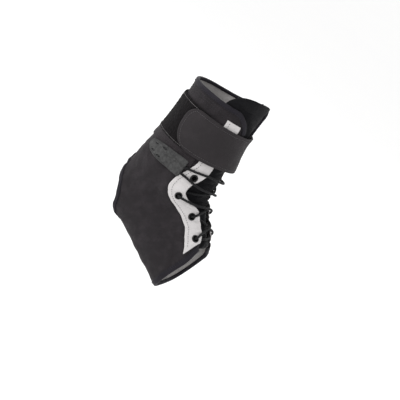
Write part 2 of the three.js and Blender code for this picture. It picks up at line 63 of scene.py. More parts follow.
# Leg and foot that the brace is shaped to
RIM_HEIGHT = 122
LEG_DEPTH = 84
LEG_WIDTH = 78
FOOT_REACH = 80
FOOT_DROP = 92
FOOT_WIDTH = 81

# Sheet and pad thicknesses
QUARTER_WALL = 2
EYESTAY_WALL = 1
TONGUE_EDGE = 1.2
TONGUE_PAD = 3
BAND_WALL = 2.8
LANDING_WALL = 1.5
STRAP_WALL = 2
TAB_WALL = 2.5
SEAT_GAP = 0.4
RAMP_GAP = 0.3

# Widths and heights of the strips
BAND_BOTTOM = 54
BAND_WIDTH = 48
LANDING_WIDTH = 12.5
STRAP_FLARE = 4.5
STRAP_LIFT = 4
STRAP_TOP_CORNER = 16
STRAP_BOTTOM_CORNER = 26
RIM_BINDING = 4.5
HEEL_BINDING = 4
TOE_BINDING = 5
TAB_LENGTH = 45
TAB_WIDTH = 19.5
TAB_HEIGHT = 36.8
TAB_DROP = 2.5
TAB_START = -72.5
TAB_TAPER = 3.2
TAB_FOLD = 0.35

# Lace and eyelets
LACE_DIAMETER = 2.9
LACE_PLAY = 0.3
EYELET_DIAMETER = 9
EYELET_BORE = 5.8
EYELET_RIM = 0.8
EYELET_BARREL_WALL = 0.6
LACE_ROOM = LACE_DIAMETER + LACE_PLAY

# Sections: front, front height, rear, rear height, half width, taper to the front, flatness
# of the sole. Leg rows are shares of its depth, rim height and width, foot rows of its sizes.
LEG_SECTIONS = [
    (0.470, 1.016, -0.504, 1.000, 0.500, 0.00, 0),
    (0.464, 0.820, -0.504, 0.820, 0.494, 0.02, 0),
    (0.470, 0.574, -0.506, 0.574, 0.474, 0.04, 0),
    (0.488, 0.369, -0.548, 0.352, 0.462, 0.05, 0),
    (0.506, 0.221, -0.590, 0.164, 0.462, 0.05, 0),
]
FOOT_SECTIONS = [
    (0.556, 0.152, -0.660, -0.054, 0.451, 0.04, 0.00),
    (0.619, 0.054, -0.750, -0.370, 0.432, 0.05, 0.10),
    (0.694, -0.043, -0.550, -0.598, 0.420, 0.10, 0.25),
    (0.769, -0.130, -0.216, -0.665, 0.432, 0.14, 0.35),
    (0.844, -0.207, 0.108, -0.775, 0.457, 0.16, 0.40),
    (0.919, -0.272, 0.440, -0.893, 0.481, 0.18, 0.40),
    (1.022, -0.355, 0.785, -1.018, 0.500, 0.18, 0.35),
]
LEG_SIZES = (LEG_DEPTH, RIM_HEIGHT, LEG_DEPTH, RIM_HEIGHT, LEG_WIDTH, 1, 1)
FOOT_SIZES = (FOOT_REACH, FOOT_DROP, FOOT_REACH, FOOT_DROP, FOOT_WIDTH, 1, 1)
SECTIONS = np.concatenate([np.array(LEG_SECTIONS) * LEG_SIZES,
                           np.array(FOOT_SECTIONS) * FOOT_SIZES])

# Front of each quarter: station, then the turns of the eyestay's outer and inner edge and
# of the cloth's own edge
LATERAL_FRONT = [
    (0.00, 61, 40, 49), (0.15, 60, 39, 40), (0.45, 60, 38, 28), (0.83, 59, 35, 20),
    (2.00, 59, 35, 23), (2.67, 60, 36, 34), (3.10, 64, 39, 38), (3.60, 69, 45, 44),
    (4.10, 73, 51, 50), (4.60, 74, 52, 51), (5.10, 70, 45, 44), (5.60, 62, 33, 32),
    (6.25, 53, 25, 24), (7.00, 48, 23, 22), (8.00, 48, 23, 22), (9.00, 52, 24, 23),
    (9.75, 56, 28, 26), (10.20, 60, 36, 30), (10.60, 65, 42, 36),
]
MEDIAL_TOP = [
    (-0.58, 60, 40, 36), (-0.48, 60, 38, 24), (-0.30, 60, 36, 16),
    (0.00, 60, 35, 12), (0.83, 59, 34, 11),
]
MEDIAL_FRONT = MEDIAL_TOP + [row for row in LATERAL_FRONT if row[0] > 0.83]

# Station and turn along the open heel, turn and station along the toe edge and medial rim
HEEL_EDGE = [
    (4.70, 180), (4.85, 169), (5.05, 158), (5.35, 147), (5.70, 133), (6.00, 126),
    (6.40, 124), (6.75, 127), (7.25, 136), (7.60, 147), (7.90, 162), (8.10, 180),
]
TOE_EDGE = [(24, 10.42), (36, 10.62), (50, 10.85), (66, 11.00), (180, 11.00)]
MEDIAL_RIM = [(10, -0.58), (40, -0.54), (70, -0.28), (100, -0.06), (130, 0), (180, 0)]

# Station and the turns of the tongue's left and right side
TONGUE_SIDES = [
    (-0.84, -38, -12), (-0.80, -48, -2), (-0.70, -58, 9), (-0.50, -67, 19), (-0.20, -74, 26),
    (0.00, -76, 30), (1.00, -64, 36), (2.00, -61, 46), (3.00, -62, 60), (4.10, -69, 69),
    (5.00, -66, 66), (6.00, -52, 52), (7.00, -44, 44), (9.00, -47, 47), (10.40, -54, 54),
]

# Station and turn of each eyelet, counted from the toes
EYELETS = [(9.33, 37), (6.80, 35), (5.08, 57), (3.50, 53)]

# Soft folds of the cloth over the ankle: two ends (station, turn), half width and height
FOLDS = [
    ((3.9, -100), (5.6, -84), 6.0, 0.8),
    ((4.6, -128), (6.2, -100), 7.0, -0.9),
    ((2.9, -150), (3.4, -110), 4.0, 0.6),
    ((3.7, -165), (4.3, -128), 4.5, 0.7),
    ((6.9, -96), (8.0, -66), 8.0, -0.7),
    ((8.2, -128), (9.3, -92), 9.0, 0.7),
    ((9.6, -100), (10.3, -72), 6.0, -0.5),
    ((3.9, 100), (5.4, 86), 6.0, 0.8),
    ((4.5, 130), (6.1, 102), 7.0, -0.9),
    ((3.0, 152), (3.6, 112), 4.5, 0.6),
    ((7.0, 98), (8.1, 66), 8.0, -0.7),
    ((8.4, 126), (9.4, 88), 9.0, 0.7),
    ((0.2, -150), (0.3, -95), 3.5, 0.4),
    ((0.25, 150), (0.2, 100), 3.5, 0.4),
]


def smooth(low, high, value):
    t = np.clip((value - low) / (high - low), 0, 1)
    return t * t * (3 - 2 * t)


def lerp(a, b, t):
    return a + (b - a) * t


def unit(vectors):
    return vectors / np.linalg.norm(vectors, axis=-1, keepdims=True)


class Curve:
    """A steady curve through a table's rows, level beyond its ends."""

    def __init__(self, at, values):
        self.at, self.values = np.array(at, float), np.array(values, float)
        steps = np.diff(self.values) / np.diff(self.at)
        a, b = steps[:-1], steps[1:]
        mean = np.where(a * b > 0, 2 * a * b / np.where(a + b == 0, 1, a + b), 0)
        self.slopes = np.concatenate([steps[:1], mean, steps[-1:]])

    def __call__(self, where):
        index = np.clip(np.searchsorted(self.at, where, "right") - 1, 0, len(self.at) - 2)
        span = self.at[index + 1] - self.at[index]
        t = np.clip((where - self.at[index]) / span, 0, 1)
        t2, t3 = t * t, t * t * t
        return ((2 * t3 - 3 * t2 + 1) * self.values[index]
                + (t3 - 2 * t2 + t) * self.slopes[index] * span
                + (3 * t2 - 2 * t3) * self.values[index + 1]
                + (t3 - t2) * self.slopes[index + 1] * span)


def curves(rows):
    """One curve for each column after the first, which they are read by."""
    first, *others = zip(*rows)
    return [Curve(first, column) for column in others]


PADDED_SECTIONS = np.concatenate([2 * SECTIONS[:1] - SECTIONS[1:2], SECTIONS,
                                  2 * SECTIONS[-1:] - SECTIONS[-2:-1]])


def section_at(station):
    index = np.clip(np.floor(station), 0, len(SECTIONS) - 2).astype(int)
    t = (station - index)[..., None]
    a, b, c, d = (PADDED_SECTIONS[index + k] for k in range(4))
    bent = 0.5 * (2 * b + (c - a) * t + (2 * a - 5 * b + 4 * c - d) * t * t
                  + (3 * b - a - 3 * c + d) * t * t * t)
    return np.where(t < 0, b + (c - b) * t, bent)


def skin(station, turn):
    station, turn = np.broadcast_arrays(np.asarray(station, float), np.asarray(turn, float))
    front, front_up, rear, rear_up, half, taper, flat = np.moveaxis(section_at(station), -1, 0)
    along = np.cos(np.radians(turn))
    sole = np.where(along < 0, 1 + flat * (1 - along * along), 1) * along
    return np.stack([(front + rear) / 2 + (front - rear) / 2 * sole,
                     half * np.sin(np.radians(turn)) * (1 - taper * along),
                     (front_up + rear_up) / 2 + (front_up - rear_up) / 2 * sole], axis=-1)


def directions(station, turn):
    step = 0.01
    down = (skin(station + step, turn) - skin(station - step, turn)) / (2 * step)
    around = (skin(station, turn + step) - skin(station, turn - step)) / (2 * step)
    return down, around, unit(np.cross(down, around))


# Millimetres of cloth for a station and a degree, near the ankle
STATION_RUN = 22
TURN_RUN = 0.66

# Slight unevenness of cloth held by hand: waves along and round it, in cycles to a
# millimetre, with a phase and a height
RIPPLES = [
    (0.031, 0.047, 0.6, 0.20), (0.058, -0.021, 2.1, 0.18), (-0.043, 0.066, 4.0, 0.15),
    (0.079, 0.034, 1.3, 0.12), (0.012, 0.091, 5.2, 0.10), (0.102, -0.057, 3.3, 0.08),
]


def drape(station, turn):
    """Height of the soft folds, which every layer of cloth shares."""
    turn = wrapped(turn)
    spot = np.stack([station * STATION_RUN, turn * TURN_RUN], axis=-1)
    total = np.zeros(np.shape(spot)[:-1])
    for start, end, width, height in FOLDS:
        a = np.array(start) * (STATION_RUN, TURN_RUN)
        b = np.array(end) * (STATION_RUN, TURN_RUN)
        share = np.clip((spot - a) @ (b - a) / ((b - a) @ (b - a)), 0, 1)
        away = np.linalg.norm(spot - a - share[..., None] * (b - a), axis=-1)
        ends = 0.35 + 0.65 * np.sin(np.pi * share)
        total = total + height * ends * np.exp(-(away / width) ** 2)
    bent = spot + 5 * np.sin(spot[..., ::-1] * 0.11)
    below = 0.35 + 0.65 * smooth(2.6, 4.2, station)
    for along, around, phase, height in RIPPLES:
        turns = bent[..., 0] * along + bent[..., 1] * around
        total = total + below * height * np.sin(2 * np.pi * turns + phase)
    return total


def on_form(station, turn, offset):
    station, turn = np.broadcast_arrays(np.asarray(station, float), np.asarray(turn, float))
    out = directions(station, turn)[2]
    height = np.asarray(offset + drape(station, turn))
    return skin(station, turn) + out * height[..., None]


def station_at(height, turn):
    low, high = np.full(np.shape(turn), -1.5), np.full(np.shape(turn), 5.0)
    for _ in range(24):
        middle = (low + high) / 2
        above = skin(middle, turn)[..., 2] > height
        low, high = np.where(above, middle, low), np.where(above, high, middle)
    return (low + high) / 2


def wrapped(turn):
    return np.where(turn < -180, turn + 360, np.where(turn > 180, turn - 360, turn))


# Offsets of the layers from the skin
TONGUE_LEFT, TONGUE_RIGHT = curves(TONGUE_SIDES)


def tongue_side(station, turn):
    return np.where(turn < 0, -TONGUE_LEFT(station), TONGUE_RIGHT(station))


def quarter_seat(station, turn):
    turn = wrapped(turn)
    side = tongue_side(np.maximum(0, station), turn)
    over = 1 - smooth(side + 6, side + 24, np.abs(turn))
    laced = smooth(2.2, 3.25, station) * (1 - smooth(9.6, 10.8, station))
    return SEAT_GAP + over * (TONGUE_EDGE + SEAT_GAP + LACE_ROOM * laced)


def quarter_top(station, turn):
    return quarter_seat(station, turn) + QUARTER_WALL


def eyestay_seat(station, turn):
    return quarter_top(station, turn) + SEAT_GAP


def eyestay_top(station, turn):
    return eyestay_seat(station, turn) + EYESTAY_WALL


def band_seat(station, turn):
    return quarter_top(station, turn) + SEAT_GAP


def landing_seat(station, turn):
    return band_seat(station, turn) + RAMP_GAP / 2


class Side:
    def __init__(self, name, sign, front, rim):
        self.name, self.sign, self.rows = name, sign, front
        self.outer, self.inner, self.edge = curves(front)
        self.rim = curves(rim)[0]


SEAM = 0.25
REAR = 180 - SEAM
LATERAL = Side("lateral", -1, LATERAL_FRONT, [(0, 0), (180, 0)])
MEDIAL = Side("medial", 1, MEDIAL_FRONT, MEDIAL_RIM)
SIDES = [LATERAL, MEDIAL]
HEEL, = curves(HEEL_EDGE)
TOE, = curves(TOE_EDGE)


def rear_turn(station):
    opened = (station > HEEL_EDGE[0][0]) & (station < HEEL_EDGE[-1][0])
    return np.where(opened, np.minimum(REAR, HEEL(station)), REAR)


# Node materials
class Look:
    """A material whose colour, roughness and bump come from nodes."""

    def __init__(self, name, roughness=0.8, sheen=0.0, specular=0.3):
        self.material = bpy.data.materials.new(name)
        self.material.use_nodes = True
        self.nodes = self.material.node_tree.nodes
        self.links = self.material.node_tree.links
        self.shader = self.nodes["Principled BSDF"]
        self.shader.inputs["Roughness"].default_value = roughness
        self.shader.inputs["Sheen Weight"].default_value = sheen
        self.shader.inputs["Sheen Roughness"].default_value = 0.5
        self.shader.inputs["Specular IOR Level"].default_value = specular
        self.height = None
        self.uv = self.split(self.node("ShaderNodeUVMap").outputs["UV"])
        self.place = self.node("ShaderNodeTexCoord").outputs["Object"]

    def node(self, kind, **settings):
        made = self.nodes.new(kind)
        for key, value in settings.items():
            setattr(made, key, value)
        return made

    def split(self, vector):
        made = self.node("ShaderNodeSeparateXYZ")
        self.links.new(vector, made.inputs[0])
        return made.outputs["X"], made.outputs["Y"]

    def math(self, operation, *values):
        made = self.node("ShaderNodeMath", operation=operation)
        for socket, value in zip(made.inputs, values):
            if isinstance(value, (int, float)):
                socket.default_value = value
            else:
                self.links.new(value, socket)
        return made.outputs[0]

    def noise(self, size_mm, detail=3.0, stretch=(1, 1, 1), rough=0.6):
        scaled = self.node("ShaderNodeMapping")
        scaled.inputs["Scale"].default_value = [s / (size_mm * MM) for s in stretch]
        self.links.new(self.place, scaled.inputs["Vector"])
        made = self.node("ShaderNodeTexNoise")
        made.inputs["Scale"].default_value = 1.0
        made.inputs["Detail"].default_value = detail
        made.inputs["Roughness"].default_value = rough
        self.links.new(scaled.outputs[0], made.inputs["Vector"])
        return made.outputs["Fac"]

    def fit(self, value, low, high, to_low, to_high):
        made = self.node("ShaderNodeMapRange")
        self.links.new(value, made.inputs[0])
        for socket, number in zip(list(made.inputs)[1:5], (low, high, to_low, to_high)):
            socket.default_value = number
        return made.outputs[0]

    def mix(self, share, first, second):
        made = self.node("ShaderNodeMix", data_type="RGBA")
        for socket, value in zip((made.inputs[0], made.inputs[6], made.inputs[7]),
                                 (share, first, second)):
            if isinstance(value, (int, float)):
                socket.default_value = value
            elif isinstance(value, tuple):
                socket.default_value = (*value, 1)
            else:
                self.links.new(value, socket)
        return made.outputs[2]

    def weave(self, thread_mm, other_mm=None):
        """Plain weave on the cloth's own lengths: threads that pass over and under in turn."""
        x = self.math("DIVIDE", self.uv[0], thread_mm * MM)
        y = self.math("DIVIDE", self.uv[1], (other_mm or thread_mm) * MM)
        parity = self.math("MODULO", self.math(
            "ADD", self.math("FLOOR", x), self.math("FLOOR", y)), 2)
        parity = self.math("ABSOLUTE", parity)
        wave_x, wave_y = self.arches(x), self.arches(y)
        ease_x = self.math("MULTIPLY_ADD", wave_x, 0.4, 0.6)
        ease_y = self.math("MULTIPLY_ADD", wave_y, 0.4, 0.6)
        warp = self.math("MULTIPLY", wave_x, ease_y)
        weft = self.math("MULTIPLY", wave_y, ease_x)
        back = self.math("SUBTRACT", 1, parity)
        return self.math("ADD", self.math("MULTIPLY", warp, parity),
                         self.math("MULTIPLY", weft, back))

    def arches(self, value):
        """One round arch for each whole step of the value."""
        return self.math("SINE", self.math("MULTIPLY", self.math("FRACT", value), math.pi))

    def ribs(self, pitch_mm):
        return self.arches(self.math("DIVIDE", self.uv[1], pitch_mm * MM))

    def bump(self, height, depth_mm, strength=1.0):
        made = self.node("ShaderNodeBump")
        made.inputs["Distance"].default_value = depth_mm * MM
        made.inputs["Strength"].default_value = strength
        self.links.new(height, made.inputs["Height"])
        if self.height is not None:
            self.links.new(self.height, made.inputs["Normal"])
        self.height = made.outputs["Normal"]
        self.links.new(self.height, self.shader.inputs["Normal"])

    def colour(self, socket):
        self.links.new(socket, self.shader.inputs["Base Color"])

    def roughness(self, socket):
        self.links.new(socket, self.shader.inputs["Roughness"])


BASE = {m["slot"]: tuple(m["base_color"]) for m in frame["record"]["materials"]}


def tone(colour, factor, tint=(1, 1, 1)):
    return tuple(c * factor * t for c, t in zip(colour, tint))


def woven(name, base, thread, other=None, contrast=0.35, depth=0.12, roughness=0.82,
          sheen=0.1, specular=0.25, mottle_and_highlight_tone=1.25, patch=14, crumple=0):
    """Woven cloth: threads, slow changes of tone, shallow creases, and patches that are partly
    the cloth's own mottle and partly painted soft highlight (painted shade where their tone is
    below one).
    """
    look = Look(name, roughness, sheen, specular)
    thread_height = look.weave(thread, other)
    slow = look.noise(patch, 4)
    fine = look.noise(0.9, 2)
    dark, light = tone(base, 1 - contrast), tone(base, 1 + contrast * 0.6)
    threads = look.mix(thread_height, dark, light)
    # Patches of the slow noise take the given tone: partly the cloth's own mottle, partly painted
    # soft highlight, and painted shade where the tone is below one.
    mottle_and_highlight_share = look.fit(slow, 0.45, 0.75, 0.0, 0.6)
    shade = look.mix(mottle_and_highlight_share, threads, tone(base, mottle_and_highlight_tone))
    fleck = look.fit(fine, 0.35, 0.7, 0.0, 0.35)
    look.colour(look.mix(fleck, shade, tone(base, 0.72)))
    look.roughness(look.fit(slow, 0.3, 0.7, roughness - 0.08, min(1.0, roughness + 0.08)))
    if crumple:
        look.bump(look.noise(30, 3, (1, 1, 1.6)), crumple * 2)
        look.bump(look.noise(8, 3, (1, 1, 0.6)), crumple * 0.6)
    look.bump(thread_height, depth)
    look.bump(fine, depth * 0.7, 0.6)
    return look.material


def fuzzy(name, base, grain, depth, roughness=0.95, sheen=0.5, contrast=0.45, rib=None):
    """Brushed or looped pile: no threads show, only tufts and flecks."""
    look = Look(name, roughness, sheen, 0.1)
    tufts = look.noise(grain, 4, rough=0.75)
    slow = look.noise(grain * 9, 3)
    loops = look.mix(look.fit(tufts, 0.35, 0.65, 0, 1), tone(base, 1 - contrast),
                     tone(base, 1 + contrast))
    look.colour(look.mix(look.fit(slow, 0.35, 0.7, 0, 0.5), loops, tone(base, 1.35)))
    look.roughness(look.fit(tufts, 0.3, 0.7, roughness - 0.06, 1.0))
    if rib:
        look.bump(look.ribs(rib), depth * 1.2, 0.8)
    look.bump(tufts, depth)
    return look.material


def braided(name, base, strand):
    """Round braid: strands that cross on the slant."""
    look = Look(name, 0.66, 0.03, 0.22)
    u, v = look.uv
    up = look.math("DIVIDE", look.math("ADD", u, v), strand * MM)
    down = look.math("DIVIDE", look.math("SUBTRACT", u, v), strand * MM)
    crossing = look.math("MULTIPLY", look.arches(up), look.arches(down))
    look.colour(look.mix(crossing, tone(base, 0.55), tone(base, 1.7)))
    look.bump(crossing, 0.25)
    look.bump(look.noise(0.4, 2), 0.05)
    return look.material


def metal_paint(name, base):
    look = Look(name, 0.36, 0.0, 0.5)
    scuff = look.noise(1.6, 5, rough=0.7)
    look.shader.inputs["Metallic"].default_value = 0.25
    look.colour(look.mix(look.fit(scuff, 0.55, 0.8, 0, 0.7), tone(base, 0.9),
                         tone(base, 3.2)))
    look.roughness(look.fit(scuff, 0.3, 0.7, 0.28, 0.5))
    look.bump(look.noise(0.7, 3), 0.03)
    return look.material


def hook_tape(name, base):
    """Hook tape seen from its back: woven ground, mottled where the hooks are pressed."""
    look = Look(name, 0.78, 0.05, 0.24)
    ground = look.weave(0.8, 0.55)
    mottle = look.noise(3.2, 5, rough=0.7)
    fine = look.noise(0.8, 2)
    threads = look.mix(ground, tone(base, 0.62), tone(base, 1.3))
    look.colour(look.mix(look.fit(mottle, 0.4, 0.62, 0, 0.8), threads, tone(base, 2.1)))
    look.roughness(look.fit(fine, 0.3, 0.7, 0.66, 0.9))
    look.bump(ground, 0.16)
    look.bump(mottle, 0.6, 0.7)
    return look.material


LINING = (0.36, 0.345, 0.34)
THREAD_BLACK = (0.022, 0.02, 0.024)
THREAD_GREY = (0.12, 0.115, 0.12)
# Pale thread for the elastic band: real stitching, whose paleness is partly painted highlight
# along the band's edges.
THREAD_PALE_HIGHLIGHT = (0.2, 0.19, 0.19)
WARM = (1.06, 0.97, 1.0)
LOOKS = {
    # The pale patches of the nylon and the strap are partly their own mottle and partly painted
    # soft highlight.
    "nylon": woven("nylon", tone(BASE["nylon"], 0.4, WARM), 0.55, contrast=0.55, sheen=0.04,
                   specular=0.17, mottle_and_highlight_tone=2.3, patch=11, crumple=1.0),
    "lining": woven("lining", LINING, 0.8, contrast=0.25, roughness=0.9),
    "binding": woven("binding", tone(BASE["binding"], 0.4), 0.42, 0.9, contrast=0.5, depth=0.1,
                     roughness=0.66, sheen=0.03, specular=0.22, patch=6),
    "eyestay": woven("eyestay", tone(BASE["eyestay"], 1.13), 0.62, 0.5, contrast=0.16, depth=0.09,
                     roughness=0.62, mottle_and_highlight_tone=0.9, patch=9),
    "tongue": woven("tongue", tone(BASE["tongue"], 0.3), 0.5, contrast=0.4, roughness=0.75,
                    sheen=0.02, specular=0.13, crumple=0.8),
    "plush": fuzzy("plush", tone(BASE["plush"], 0.4, WARM), 1.5, 0.9, sheen=0.03),
    "landing": fuzzy("landing", tone(BASE["plush"], 1.6, WARM), 1.1, 0.5, sheen=0.1, rib=1.8),
    "strap": woven("strap", tone(BASE["strap"], 0.37, WARM), 0.36, 0.5, contrast=0.22,
                   depth=0.06, roughness=0.68, sheen=0.04, specular=0.13, mottle_and_highlight_tone=1.7,
                   patch=22, crumple=0.8),
    "tab": hook_tape("tab", tone(BASE["tab"], 0.4)),
    "lace": braided("lace", tone(BASE["lace"], 0.6), 0.9),
    "eyelet": metal_paint("eyelet", tone(BASE["eyelet"], 0.7)),
    "thread_black": braided("thread_black", THREAD_BLACK, 0.3),
    "thread_grey": braided("thread_grey", THREAD_GREY, 0.3),
    "thread_pale_highlight": braided("thread_pale_highlight", THREAD_PALE_HIGHLIGHT, 0.3),
    "thread_eyestay": braided("thread_eyestay", tone(BASE["eyestay"], 0.28), 0.3),
}


# Meshes
def make(name, points, faces, uv, looks, slots=None):
    """An object from points in millimetres, with its own lengths of cloth as its UVs."""
    mesh = bpy.data.meshes.new(name)
    mesh.from_pydata((np.asarray(points) * MM).tolist(), [], [list(f) for f in faces])
    layer = mesh.uv_layers.new(name="UVMap")
    index = np.empty(len(mesh.loops), int)
    mesh.loops.foreach_get("vertex_index", index)
    layer.data.foreach_set("uv", (np.asarray(uv)[index] * MM).astype(np.float32).ravel())
    mesh.polygons.foreach_set("use_smooth", [True] * len(mesh.polygons))
    for look in looks:
        mesh.materials.append(LOOKS[look])
    if slots is not None:
        mesh.polygons.foreach_set("material_index", slots)
    mesh.update()
    made = bpy.data.objects.new(name, mesh)
    bpy.context.collection.objects.link(made)
    return made


def lengths(grid):
    """The grid's own lengths, across from its middle row and along from its first."""
    across = np.linalg.norm(np.diff(grid, axis=0), axis=-1).cumsum(axis=0)
    across = np.concatenate([np.zeros((1, grid.shape[1])), across])
    across = across - across[len(across) // 2]
    along = np.linalg.norm(np.diff(grid, axis=1), axis=-1).cumsum(axis=1)
    along = np.concatenate([np.zeros((grid.shape[0], 1)), along], axis=1)
    return np.stack([across, along], axis=-1)


def volume(points, quads):
    a, b, c, d = (points[quads[:, k]] for k in range(4))
    return (np.einsum("ij,ij->i", a, np.cross(b, c))
            + np.einsum("ij,ij->i", a, np.cross(c, d))).sum() / 6


def border_of(rows, columns):
    """Grid places round the edge, in order."""
    first = [(i, 0) for i in range(rows)]
    second = [(rows - 1, j) for j in range(1, columns)]
    third = [(i, columns - 1) for i in range(rows - 2, -1, -1)]
    fourth = [(0, j) for j in range(columns - 2, 0, -1)]
    return np.array(first + second + third + fourth)


def shell(name, outer, inner, looks, bulge=0.45):
    """A closed sheet between two grids, with a rounded edge. A second look is for its inside."""
    rows, columns = outer.shape[:2]
    count = rows * columns
    index = np.arange(count).reshape(rows, columns)
    quads = np.stack([index[:-1, :-1], index[1:, :-1], index[1:, 1:], index[:-1, 1:]],
                     axis=-1).reshape(-1, 4)
    border = border_of(rows, columns)
    inside = np.clip(border, 1, [rows - 2, columns - 2])
    edge_out, edge_in = outer[tuple(border.T)], inner[tuple(border.T)]
    away = unit(edge_out - outer[tuple(inside.T)] + 1e-9)
    wall = np.linalg.norm(edge_out - edge_in, axis=-1, keepdims=True)
    ring = (edge_out + edge_in) / 2 + away * wall * bulge
    points = np.concatenate([outer.reshape(-1, 3), inner.reshape(-1, 3), ring])
    top = index[tuple(border.T)]
    rim = 2 * count + np.arange(len(border))
    after = np.roll(np.arange(len(border)), -1)
    side_a = np.stack([top[after], top, rim, rim[after]], axis=-1)
    side_b = np.stack([rim[after], rim, top + count, top[after] + count], axis=-1)
    faces = np.concatenate([quads, quads[:, ::-1] + count, side_a, side_b])
    if volume(points, faces) < 0:
        faces = faces[:, ::-1]
    flat = lengths(outer).reshape(-1, 2)
    uv = np.concatenate([flat, flat, flat[top]])
    slots = np.zeros(len(faces), int)
    slots[len(quads):2 * len(quads)] = len(looks) - 1
    return make(name, points, faces, uv, looks, slots)


def panel(name, across, along, place, looks, bulge=0.45):
    u, v = np.meshgrid(np.linspace(0, 1, across + 1), np.linspace(0, 1, along + 1),
                       indexing="ij")
    return shell(name, place(u, v, 1.0), place(u, v, 0.0), looks, bulge)


def spread(u, v, turns, stations):
    """Station and turn of a spot that is a share across and along a panel with curved edges."""
    station = lerp(*stations(np.full_like(u, 90.0)), v)
    turn = np.full_like(u, 90.0)
    for _ in range(12):
        turn = lerp(*turns(station), u)
        station = lerp(*stations(turn), v)
    return station, turn


def catmull(points, steps):
    """Points along a smooth line through the given ones, this many to each of their gaps."""
    points = np.asarray(points, float)
    ends = [2 * points[:1] - points[1:2], points, 2 * points[-1:] - points[-2:-1]]
    p = np.concatenate(ends)
    gaps = np.sqrt(np.linalg.norm(np.diff(p, axis=0), axis=-1))
    gaps = np.maximum(gaps, 1e-4)
    line = []
    for k in range(1, len(p) - 2):
        d0, d1, d2 = gaps[k - 1:k + 2]
        before = (p[k] - p[k - 1]) / d0 - (p[k + 1] - p[k - 1]) / (d0 + d1)
        start = (before + (p[k + 1] - p[k]) / d1) * d1
        behind = (p[k + 1] - p[k]) / d1 - (p[k + 2] - p[k]) / (d1 + d2)
        end = (behind + (p[k + 2] - p[k + 1]) / d2) * d1
        t = np.linspace(0, 1, steps, endpoint=False)[:, None]
        line.append((2 * t**3 - 3 * t**2 + 1) * p[k] + (t**3 - 2 * t**2 + t) * start
                    + (3 * t**2 - 2 * t**3) * p[k + 1] + (t**3 - t**2) * end)
    return np.concatenate(line + [p[-2:-1]])


def evenly(line, spacing):
    """The line with its points a given distance apart."""
    run = np.concatenate([[0], np.linalg.norm(np.diff(line, axis=0), axis=-1).cumsum()])
    count = max(2, int(round(run[-1] / spacing)) + 1)
    where = np.linspace(0, run[-1], count)
    return np.stack([np.interp(where, run, line[:, k]) for k in range(line.shape[1])],
                    axis=-1)


class Edge:
    """An edge of the cloth as stations and turns, with the way inward for a millimetre."""

    def __init__(self, spots, inward, steps=14):
        line = catmull(spots, steps)
        self.station, self.turn = line[:, 0], line[:, 1]
        place = skin(self.station, self.turn)
        run = unit(np.gradient(place, axis=0))
        down, around, out = directions(self.station, self.turn)
        aside = np.cross(out, run) * inward
        dd, da, aa = ((x * y).sum(-1) for x, y in ((down, down), (down, around),
                                                    (around, around)))
        p, q = (aside * down).sum(-1), (aside * around).sum(-1)
        size = dd * aa - da * da
        self.step = np.stack([(p * aa - q * da) / size, (q * dd - p * da) / size], axis=-1)

    def spots(self, inset):
        return self.station + self.step[:, 0] * inset, self.turn + self.step[:, 1] * inset

    def place(self, inset, height):
        station, turn = self.spots(inset)
        return on_form(station, turn, height(station, turn))


def rim_edge(side):
    edge = [(float(side.rim(turn)), turn) for turn in np.arange(REAR, 62, -13)]
    edge += [(row[0], row[3]) for row in side.rows if row[0] <= 0.83]
    return Edge([(station, side.sign * turn) for station, turn in edge], side.sign)


def heel_edge(side):
    return Edge([(s, side.sign * min(t, REAR)) for s, t in HEEL_EDGE], -side.sign)


def toe_edge(side):
    turns = [*np.arange(31, REAR, 10.6), REAR]
    return Edge([(float(TOE(turn)), side.sign * turn) for turn in turns], side.sign)


def tube(name, rings, looks, uv_across):
    """A closed tube through rings of points, with flat ends."""
    count, around = rings.shape[:2]
    index = np.arange(count * around).reshape(count, around)
    after = np.roll(index, -1, axis=1)
    quads = np.stack([index[:-1], index[1:], after[1:], after[:-1]], axis=-1).reshape(-1, 4)
    points = rings.reshape(-1, 3)
    flip = volume(points, quads) < 0
    faces = [list(f[::-1]) if flip else list(f) for f in quads]
    first, last = list(index[0]), list(index[-1])
    faces += [first[::-1], last] if flip else [first, last[::-1]]
    run = np.linalg.norm(np.diff(rings.mean(axis=1), axis=0), axis=-1).cumsum()
    along = np.concatenate([[0], run])
    uv = np.stack([np.broadcast_to(uv_across, (count, around)),
                   np.repeat(along[:, None], around, axis=1)], axis=-1)
    return make(name, points, faces, uv.reshape(-1, 2), looks)


def binding(name, edge, width):
    """Folded tape that wraps an edge of the quarter, its fold a little proud of it."""
    back = width * 0.62
    profile = [
        (width, 0.06, 1), (width, 0.75, 1), (width - 0.5, 0.92, 1), (width * 0.6, 0.98, 1),
        (width * 0.3, 0.98, 1), (0.2, 1.0, 1), (-0.6, 0.72, 1), (-1.05, 0.0, 1),
        (-1.15, -1.0, 1), (-1.0, 0.25, 0), (-0.6, -0.2, 0), (0.2, -0.42, 0),
        (back * 0.5, -0.45, 0), (back, -0.42, 0), (back, -0.06, 0), (0.2, -0.06, 0),
        (-0.62, 0.1, 0), (-0.72, 1.0, 0), (-0.62, 0.05, 1), (0.3, 0.06, 1),
    ]
    rings = []
    for inset, height, outer in profile:
        base = quarter_top if outer else quarter_seat
        rings.append(edge.place(inset, lambda s, t, b=base, h=height: b(s, t) + h))
    rings = np.stack(rings, axis=1)
    gaps = np.linalg.norm(np.diff(rings[0], axis=0, append=rings[0][:1]), axis=-1)
    return tube(name, rings, ["binding"], np.concatenate([[0], gaps.cumsum()[:-1]]))


